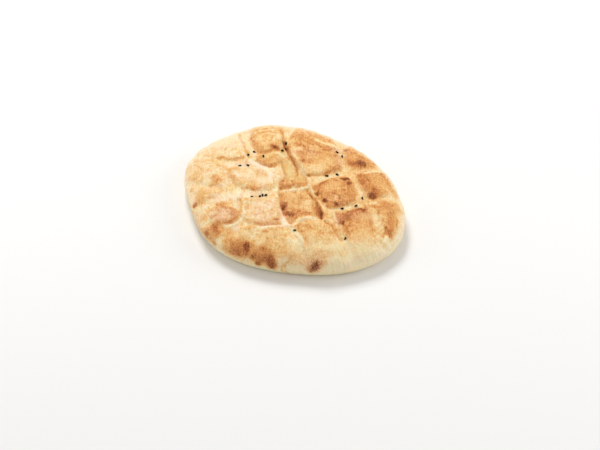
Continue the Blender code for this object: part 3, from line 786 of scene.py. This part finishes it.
def doughTone(places, wobbleX, wobbleY):
    # The dough's level, from left to right and in the hollow (darkened there as painted shade), which each
    # pad draws towards its own
    x, y, _ = places.T
    sunk, _ = hollowShare(x, y)
    toast = towards(crustTone["left"], crustTone["right"], climb(x, *crustTone["leftToRight"]))
    # The hollow's floor, darkened as painted shade
    toast = towards(toast, crustTone["stripAndShade"], sunk)
    for group, within in ((pads, 1 - sunk), (hollowPads, sunk)):
        for _, _, level, corners in group.values():
            inside = depthInside(corners, wobbleX, wobbleY, crustTone["padRounding"])
            toast = towards(toast, level, within * climb(inside, *crustTone["padFrom"]))
    return toast, sunk


def unevenTone(places):
    # Layers of noise, plus blisters where a finer noise climbs past a level, less the fourth power of 1 less
    # the size of another one, whose noughts make thin pale lines
    uneven = layered(places, crustTone["layers"], noiseSeeds["layers"])
    cell, size = crustTone["blisters"]
    blisters = climb(valueNoise(places, cell, noiseSeeds["blisters"]), *crustTone["blistersFrom"])
    uneven += size * (blisters - crustTone["blisterMean"])
    cell, size = crustTone["cracks"]
    cracks = (1 - np.abs(valueNoise(places, cell, noiseSeeds["cracks"]))) ** crustTone["crackPower"]
    return uneven - size * (cracks - crustTone["crackMean"])


def crustTones(places):
    # How far each point is toasted: the dough, its unevenness, folds and creases (browned as painted shade),
    # which the rim (partly painted rim light), the side, the lines, the marks (some painted shade and some
    # painted highlights) and the underside draw towards their own levels; then how floury (on the far rim
    # partly a painted sheen), creamy and honey-coloured (partly painted shade in the hollow) it is
    x, y, z = places.T
    share = shareOfOutline(x, y)
    wobbleX = x + layered(places, crustTone["wander"], noiseSeeds["wanderX"])
    wobbleY = y + layered(places, crustTone["wander"], noiseSeeds["wanderY"])
    toast, sunk = doughTone(places, wobbleX, wobbleY)
    folds, rimFolds = skinFolds(places)
    toast += unevenTone(places) * (crustTone["unevenPale"] + crustTone["unevenGrowth"] * toast)
    toast -= crustTone["foldShare"] * folds + crustTone["rimFoldShare"] * rimFolds
    # Painted shade: the creases are browned by how deep they lie
    toast += crustTone["creases"] * creaseShadeShare(places)
    onFrontRight = frontRightShare(x, y)
    angle = np.degrees(np.arctan2(y, x))
    start = np.interp(angle, rim["angles"], rim["start"])
    onRim = climb(share, start, 1 - start)
    # The rim's paleness is partly painted rim light
    paleAndLitRim = np.interp(angle, rim["angles"], rim["paleness"]) * onRim
    paleAndLitRim = np.maximum(paleAndLitRim, crustTone["frontRightPaleness"] * onFrontRight)
    toast = towards(toast, crustTone["rim"], paleAndLitRim)
    sideward = fall(z, loaf["widestHeight"], crustTone["sideFade"])
    toast = towards(toast, crustTone["side"], sideward)
    for level, halfWidth, points in tonedAndShadedLines:
        toast = towards(toast, level, lineWeight(wobbleX, wobbleY, points, halfWidth, pieces=4))
    for group in toastMarksAndPaintedLight.values():
        for level, weight in spots(group, wobbleX, wobbleY, z):
            toast = towards(toast, level, weight)
    underside = fall(z, *crustTone["undersideBelow"]) * fall(share, *crustTone["undersideWithin"])
    cell, size = crustTone["undersideLayer"]
    bakedLevel = crustTone["underside"] + size * valueNoise(places, cell, noiseSeeds["undersideTone"])
    toast = towards(toast, bakedLevel, underside)

    # The rim's flour, which on the far side is partly a painted sheen
    flourAndSheen = np.interp(angle, rim["angles"], rim["flourAndSheen"]) * onRim
    flourAndSheen *= 1 - crustTone["sideFlourLoss"] * sideward
    for amount, weight in spots(flourPatches, wobbleX, wobbleY, z):
        flourAndSheen = towards(flourAndSheen, amount, weight)
    flourAndSheen *= 1 + layered(places, crustTone["flourLayers"], noiseSeeds["flourAndSheen"])
    cream = (crustTone["frontRightCream"] - crustTone["rimFoldCream"] * rimFolds) * onFrontRight
    cream = np.maximum(crustTone["sideCream"] * sideward, cream) + crustTone["stripCream"] * sunk
    for amount, weight in spots(creamPatches, wobbleX, wobbleY, z):
        cream = np.maximum(cream, amount * weight)
    # Honey colour, which in the hollow paints its olive shade
    honeyAndShade = np.zeros(len(places))
    for amount, weight in spots(honeyAndShadePatches, wobbleX, wobbleY, z):
        honeyAndShade = np.maximum(honeyAndShade, amount * weight)
    tones = {"toast": toast, "flourAndSheen": flourAndSheen, "cream": cream * (1 - underside), "honeyAndShade": honeyAndShade}
    return {name: np.clip(values, 0, 1) for name, values in tones.items()}


def addNode(tree, kind, **settings):
    # A new node with its settings
    node = tree.nodes.new(kind)
    for name, value in settings.items():
        setattr(node, name, value)
    return node


def feed(tree, sockets, values):
    # Each socket is linked to an output, or takes a plain value
    for socket, value in zip(sockets, values):
        if isinstance(value, bpy.types.NodeSocket):
            tree.links.new(value, socket)
        else:
            socket.default_value = value


def noiseNode(tree, coordinates, size, detail=3.0, roughness=0.6):
    # Object coordinates are metres, so one over the feature's size is the scale
    node = addNode(tree, "ShaderNodeTexNoise")
    inputs = node.inputs
    sockets = (inputs["Vector"], inputs["Scale"], inputs["Detail"], inputs["Roughness"])
    feed(tree, sockets, (coordinates, 1 / (size * mm), detail, roughness))
    return node.outputs["Fac"]


def mathNode(tree, operation, first, second, clamp=False):
    # One sum of two numbers or outputs
    node = addNode(tree, "ShaderNodeMath", operation=operation, use_clamp=clamp)
    feed(tree, node.inputs, (first, second))
    return node.outputs[0]


def attributeNode(tree, name):
    # A value that the mesh carries at each point
    return addNode(tree, "ShaderNodeAttribute", attribute_name=name).outputs["Fac"]


def mixColour(tree, share, first, second):
    # The first colour drawn towards the second by the share
    node = addNode(tree, "ShaderNodeMix", data_type="RGBA")
    feed(tree, (node.inputs[0], node.inputs[6], node.inputs[7]), (share, first, second))
    return node.outputs[2]


def bumpInto(tree, shader, height, strength, depth):
    # The shader's normal, tilted by the height
    bump = addNode(tree, "ShaderNodeBump")
    sockets = (bump.inputs["Strength"], bump.inputs["Distance"], bump.inputs["Height"])
    feed(tree, sockets, (strength, depth * mm, height))
    tree.links.new(bump.outputs["Normal"], shader.inputs["Normal"])


def newMaterial(name, roughness, specular):
    # A Principled material with its roughness and gloss set
    material = bpy.data.materials.new(name)
    material.use_nodes = True
    shader = material.node_tree.nodes["Principled BSDF"]
    shader.inputs["Roughness"].default_value = roughness
    shader.inputs["Specular IOR Level"].default_value = specular
    return material, material.node_tree, shader


crustLook = {
    # The colour by how far the crust is toasted
    "ramp": (
        (0.00, (249, 234, 199)), (0.18, (244, 216, 165)), (0.38, (236, 188, 120)), (0.56, (221, 155, 87)),
        (0.74, (192, 116, 58)), (0.88, (146, 80, 40)), (1.00, (104, 54, 28)),
    ),
    # Each cover's colour and share, from the first laid to the last; the honey is partly painted shade in the
    # hollow, and the flour partly a painted sheen on the far rim
    "covers": {
        "honeyAndShade": ((226, 194, 122), 0.8),
        "cream": ((246, 230, 186), 0.75),
        "flourAndSheen": ((249, 226, 206), 0.75),
    },
    "coverOnPale": 1.1,      # how much of a cover shows on pale dough, and how much less on toasted
    "coverLoss": 1.2,
    "roughness": 0.62,
    "specular": 0.2,
    "freckleSize": 1.8,      # millimetres
    "freckleDetail": 4.0,
    "freckles": 0.62,        # how much freckles, streaks and grain change the toasting
    "streakSize": (7.0, 1.3, 2.5),  # along the folds, across them and up
    "streaks": 0.45,
    "grainSize": 0.8,
    "grain": 0.48,
    "bump": 0.8,
    "bumpDepth": 1.0,        # made by the streaks, plus these shares of grain and freckles
    "grainBump": 0.6,
    "freckleBump": 0.8,
    "softness": 0.30,        # how much light goes into the crust, and how far in each colour
    "softRadius": (1.0, 0.4, 0.12),
    "softScale": 3.0,
}


def crustMaterial():
    # The toasted level plus three noises runs through a ramp of colours, and honey (partly painted shade),
    # cream and flour (partly painted sheen) cover it where it is pale enough: share times a straight fall of
    # the level
    look = crustLook
    material, tree, shader = newMaterial("toastedCrust", look["roughness"], look["specular"])
    place = addNode(tree, "ShaderNodeTexCoord").outputs["Object"]
    stretch = addNode(tree, "ShaderNodeMapping", vector_type="TEXTURE")
    stretch.inputs["Rotation"].default_value = (0, 0, np.radians(crustRelief["foldTurn"]))
    stretch.inputs["Scale"].default_value = look["streakSize"]
    tree.links.new(place, stretch.inputs["Vector"])
    freckles = noiseNode(tree, place, look["freckleSize"], look["freckleDetail"])
    streaks = noiseNode(tree, stretch.outputs["Vector"], 1.0)
    grain = noiseNode(tree, place, look["grainSize"])
    level = attributeNode(tree, "toast")
    for noise, size in ((freckles, "freckles"), (streaks, "streaks"), (grain, "grain")):
        centred = mathNode(tree, "SUBTRACT", noise, 0.5)
        level = mathNode(tree, "ADD", level, mathNode(tree, "MULTIPLY", centred, look[size]))
    level = mathNode(tree, "ADD", level, 0.0, clamp=True)
    ramp = addNode(tree, "ShaderNodeValToRGB")
    while len(ramp.color_ramp.elements) < len(look["ramp"]):
        ramp.color_ramp.elements.new(0.5)
    for element, (position, colour) in zip(ramp.color_ramp.elements, look["ramp"]):
        element.position = position
        element.color = toLinear(*colour)
    tree.links.new(level, ramp.inputs["Fac"])
    colour = ramp.outputs["Color"]
    loss = mathNode(tree, "MULTIPLY", level, look["coverLoss"])
    paleness = mathNode(tree, "SUBTRACT", look["coverOnPale"], loss, clamp=True)
    for name, (coverColour, most) in look["covers"].items():
        share = mathNode(tree, "MULTIPLY", attributeNode(tree, name), most)
        share = mathNode(tree, "MULTIPLY", share, paleness)
        colour = mixColour(tree, share, colour, toLinear(*coverColour))
    tree.links.new(colour, shader.inputs["Base Color"])
    shader.inputs["Subsurface Weight"].default_value = look["softness"]
    shader.inputs["Subsurface Radius"].default_value = look["softRadius"]
    shader.inputs["Subsurface Scale"].default_value = look["softScale"] * mm
    pores = mathNode(tree, "ADD", streaks, mathNode(tree, "MULTIPLY", grain, look["grainBump"]))
    pores = mathNode(tree, "ADD", pores, mathNode(tree, "MULTIPLY", freckles, look["freckleBump"]))
    bumpInto(tree, shader, pores, look["bump"], look["bumpDepth"])
    return material


def makeCrust():
    # The loaf's surface, lifted along its normals and moved so that its outline is centred on the origin
    places, quads, fan = loafSurface()
    moved = liftCrust(places, surfaceNormals(places, quads))
    moved[:, :2] -= outlineCentre()
    crust = meshObject("crust", moved, quads.tolist() + fan.tolist())
    for name, values in crustTones(places).items():
        attribute = crust.data.attributes.new(name, "FLOAT", "POINT")
        attribute.data.foreach_set("value", values.astype(np.float32))
    crust.data.materials.append(crustMaterial())
    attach(crust, "root")
    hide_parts("somun")
    print("crust:", len(moved), "points")
    return moved, surfaceNormals(moved, quads)


# The nigella seeds

seedLook = {
    "length": 3.6,
    "width": 2.1,
    "sizes": (0.82, 1.08),   # the least and the greatest share of these sizes, drawn for each seed
    "drawSeed": 7,
    "proud": 0.2,            # how far the middle stands above the crust, as a share of the width
    "leastUp": 0.2,          # how much upwards the crust has to face under a seed
    "bluntness": 0.8,        # 1 is an ellipse, and less is blunter
    "fatEnd": 0.28,
    "edges": 3,              # low edges along it, and how far they stand out
    "edgeSize": 0.10,
    "around": 12,
    "along": 10,             # faces round a seed and along it
    "colour": (52, 32, 16),
    "darkShare": 0.5,        # the dark speckles' share of that colour
    "speckleSize": 0.4,
    "roughness": 0.5,
    "specular": 0.2,
    "bump": 0.5,
    "bumpDepth": 0.15,
}
# Where each seed lies and how it is turned
seedPlaces = (
    (-59, 1.5, 60), (-53, 6.5, 5), (-60.3, 21, 0), (-56, 26, 170), (-44, 21.8, 118),
    (-34.5, 41.5, 50), (-35.2, 52.8, 112), (-33.5, 48.5, 130), (-28, -30, 20), (-22, -26.2, 100),
    (-19.9, -23, 118), (-17.6, -21.4, 60), (28.6, -50.4, 25), (74, -35.5, 80), (15, 63, 15),
    (21.5, 61, 130), (29.6, 35.6, 175), (65, 17.3, 120), (64, 6, 60), (54, -4, 38), (21.5, 29, 15),
)


def seedShape():
    # A drop turned about X, fattest past its middle, whose section is a circle with a few low edges
    t = np.linspace(0, np.pi, seedLook["along"] + 1)[1:-1, None]
    angle = np.linspace(0, 2 * np.pi, seedLook["around"], endpoint=False)[None, :]
    section = 1 + seedLook["edgeSize"] * np.cos(seedLook["edges"] * angle)
    radius = np.sin(t) ** seedLook["bluntness"] * (1 - seedLook["fatEnd"] * np.cos(t)) * section
    ringX = np.broadcast_to(-np.cos(t) * seedLook["length"] / 2, radius.shape)
    ringY = radius * np.cos(angle) * seedLook["width"] / 2
    ringZ = radius * np.sin(angle) * seedLook["width"] / 2
    rings = np.stack([ringX, ringY, ringZ], axis=-1)
    tips = np.array([[-seedLook["length"] / 2, 0, 0], [seedLook["length"] / 2, 0, 0]])
    count, around = rings.shape[:2]
    number = np.arange(count * around).reshape(count, around)
    beside = np.roll(number, -1, axis=1)
    quads = np.stack([number[:-1], beside[:-1], beside[1:], number[1:]], axis=-1).reshape(-1, 4)
    first = np.stack([np.full(around, count * around), beside[0], number[0]], axis=-1)
    last = np.stack([np.full(around, count * around + 1), number[-1], beside[-1]], axis=-1)
    return np.vstack([rings.reshape(-1, 3), tips]), quads, np.vstack([first, last])


def seedMaterial():
    # A dark colour that a fine noise mixes with a darker one, and which tilts the surface too
    material, tree, shader = newMaterial("nigella", seedLook["roughness"], seedLook["specular"])
    place = addNode(tree, "ShaderNodeTexCoord").outputs["Object"]
    speckle = noiseNode(tree, place, seedLook["speckleSize"])
    red, green, blue, _ = np.array(toLinear(*seedLook["colour"])) * seedLook["darkShare"]
    colour = mixColour(tree, speckle, (red, green, blue, 1), toLinear(*seedLook["colour"]))
    tree.links.new(colour, shader.inputs["Base Color"])
    bumpInto(tree, shader, speckle, seedLook["bump"], seedLook["bumpDepth"])
    return material


def makeSeeds(crustPlaces, crustNormals):
    # Each seed lies along its turn, laid flat on the crust's nearest point, and all become one mesh
    shape, quads, tips = seedShape()
    rng = np.random.default_rng(seedLook["drawSeed"])
    centreX, centreY = outlineCentre()
    top = np.flatnonzero(crustNormals[:, 2] > seedLook["leastUp"])
    points, faces = [], []
    for number, (x, y, turn) in enumerate(seedPlaces):
        gap = np.hypot(crustPlaces[top, 0] - x + centreX, crustPlaces[top, 1] - y + centreY)
        spot = top[np.argmin(gap)]
        normal = crustNormals[spot]
        along = np.array([np.cos(np.radians(turn)), np.sin(np.radians(turn)), 0.0])
        along -= normal * (along @ normal)
        along /= np.linalg.norm(along)
        axes = np.array([along, np.cross(normal, along), normal])
        size = rng.uniform(*seedLook["sizes"], 3)
        middle = crustPlaces[spot] + normal * seedLook["width"] * seedLook["proud"]
        points.append((shape * size) @ axes + middle)
        for rows in (quads, tips):
            faces += (rows + number * len(shape)).tolist()
    seeds = meshObject("seeds", np.vstack(points), faces)
    seeds.data.materials.append(seedMaterial())
    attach(seeds, "root")
    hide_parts("somun")
    print("seeds:", len(seedPlaces))


# The studio

studio = {
    "azimuth": 28.0,         # the way the camera looks, turned from +Y
    "elevation": 45.6,
    "aim": (15.9, -16.6),
    "distance": 1525.0,
    "lens": 96.0,            # lens and sensor in millimetres, as on a real camera
    "sensor": 36.0,
    "seesTo": 20000.0,       # the furthest that the camera sees
    "floorHalf": 2500.0,
    "floorColour": (240, 239, 237),
    "floorRoughness": 0.9,
    "floorSpecular": 0.1,
    "worldStrength": 0.43,
    # Power, size and place: right of the view, away from the camera, up
    "lamps": {
        "keyLight": (19.5, 700.0, (-350, 1000, 1380)),
        "frontFill": (3.0, 1400.0, (500, -1200, 900)),
        "rightFill": (6.0, 900.0, (1250, 50, 600)),
        "leftFill": (3.2, 900.0, (-1250, -50, 600)),
    },
}


def fromView(right, away, up):
    # A place given by the view's right and away directions, turned into the loaf's frame
    x, y = turned(right, away, studio["azimuth"])
    return Vector((x, y, up)) * mm


def makeFloor():
    # One square on the ground
    half = studio["floorHalf"]
    corners = np.array([[-half, -half, 0], [half, -half, 0], [half, half, 0], [-half, half, 0]])
    floor = meshObject("floor", corners, [(0, 1, 2, 3)], smooth=False)
    material, _, shader = newMaterial("paleFloor", studio["floorRoughness"], studio["floorSpecular"])
    shader.inputs["Base Color"].default_value = toLinear(*studio["floorColour"])
    floor.data.materials.append(material)


def makeLamp(name, power, size, place):
    # A square lamp that faces the origin
    lamp = bpy.data.lights.new(name, "AREA")
    lamp.energy = power
    lamp.size = size * mm
    made = bpy.data.objects.new(name, lamp)
    made.location = fromView(*place)
    made.rotation_euler = (-made.location).to_track_quat("-Z", "Y").to_euler()
    bpy.context.scene.collection.objects.link(made)


def makeWorld():
    # An even white glow from all sides
    world = bpy.data.worlds.new("softWorld")
    world.use_nodes = True
    background = world.node_tree.nodes["Background"]
    background.inputs["Color"].default_value = (1.0, 1.0, 1.0, 1.0)
    background.inputs["Strength"].default_value = studio["worldStrength"]
    bpy.context.scene.world = world


def makeCamera():
    # Back from the aim by the distance, along the elevation and the azimuth
    data = bpy.data.cameras.new("camera")
    data.lens = studio["lens"]
    data.sensor_width = studio["sensor"]
    data.clip_end = studio["seesTo"] * mm
    camera = bpy.data.objects.new("camera", data)
    aim = Vector((*studio["aim"], 0.0)) * mm
    rise = np.radians(studio["elevation"])
    back = fromView(0, -studio["distance"] * np.cos(rise), studio["distance"] * np.sin(rise))
    camera.location = aim + back
    camera.rotation_euler = (-back).to_track_quat("-Z", "Y").to_euler()
    bpy.context.scene.collection.objects.link(camera)
    bpy.context.scene.camera = camera


makeSeeds(*makeCrust())
makeFloor()
makeWorld()
for name, setting in studio["lamps"].items():
    makeLamp(name, *setting)
makeCamera()
bpy.context.scene.view_settings.view_transform = "Standard"
print("studio ready")
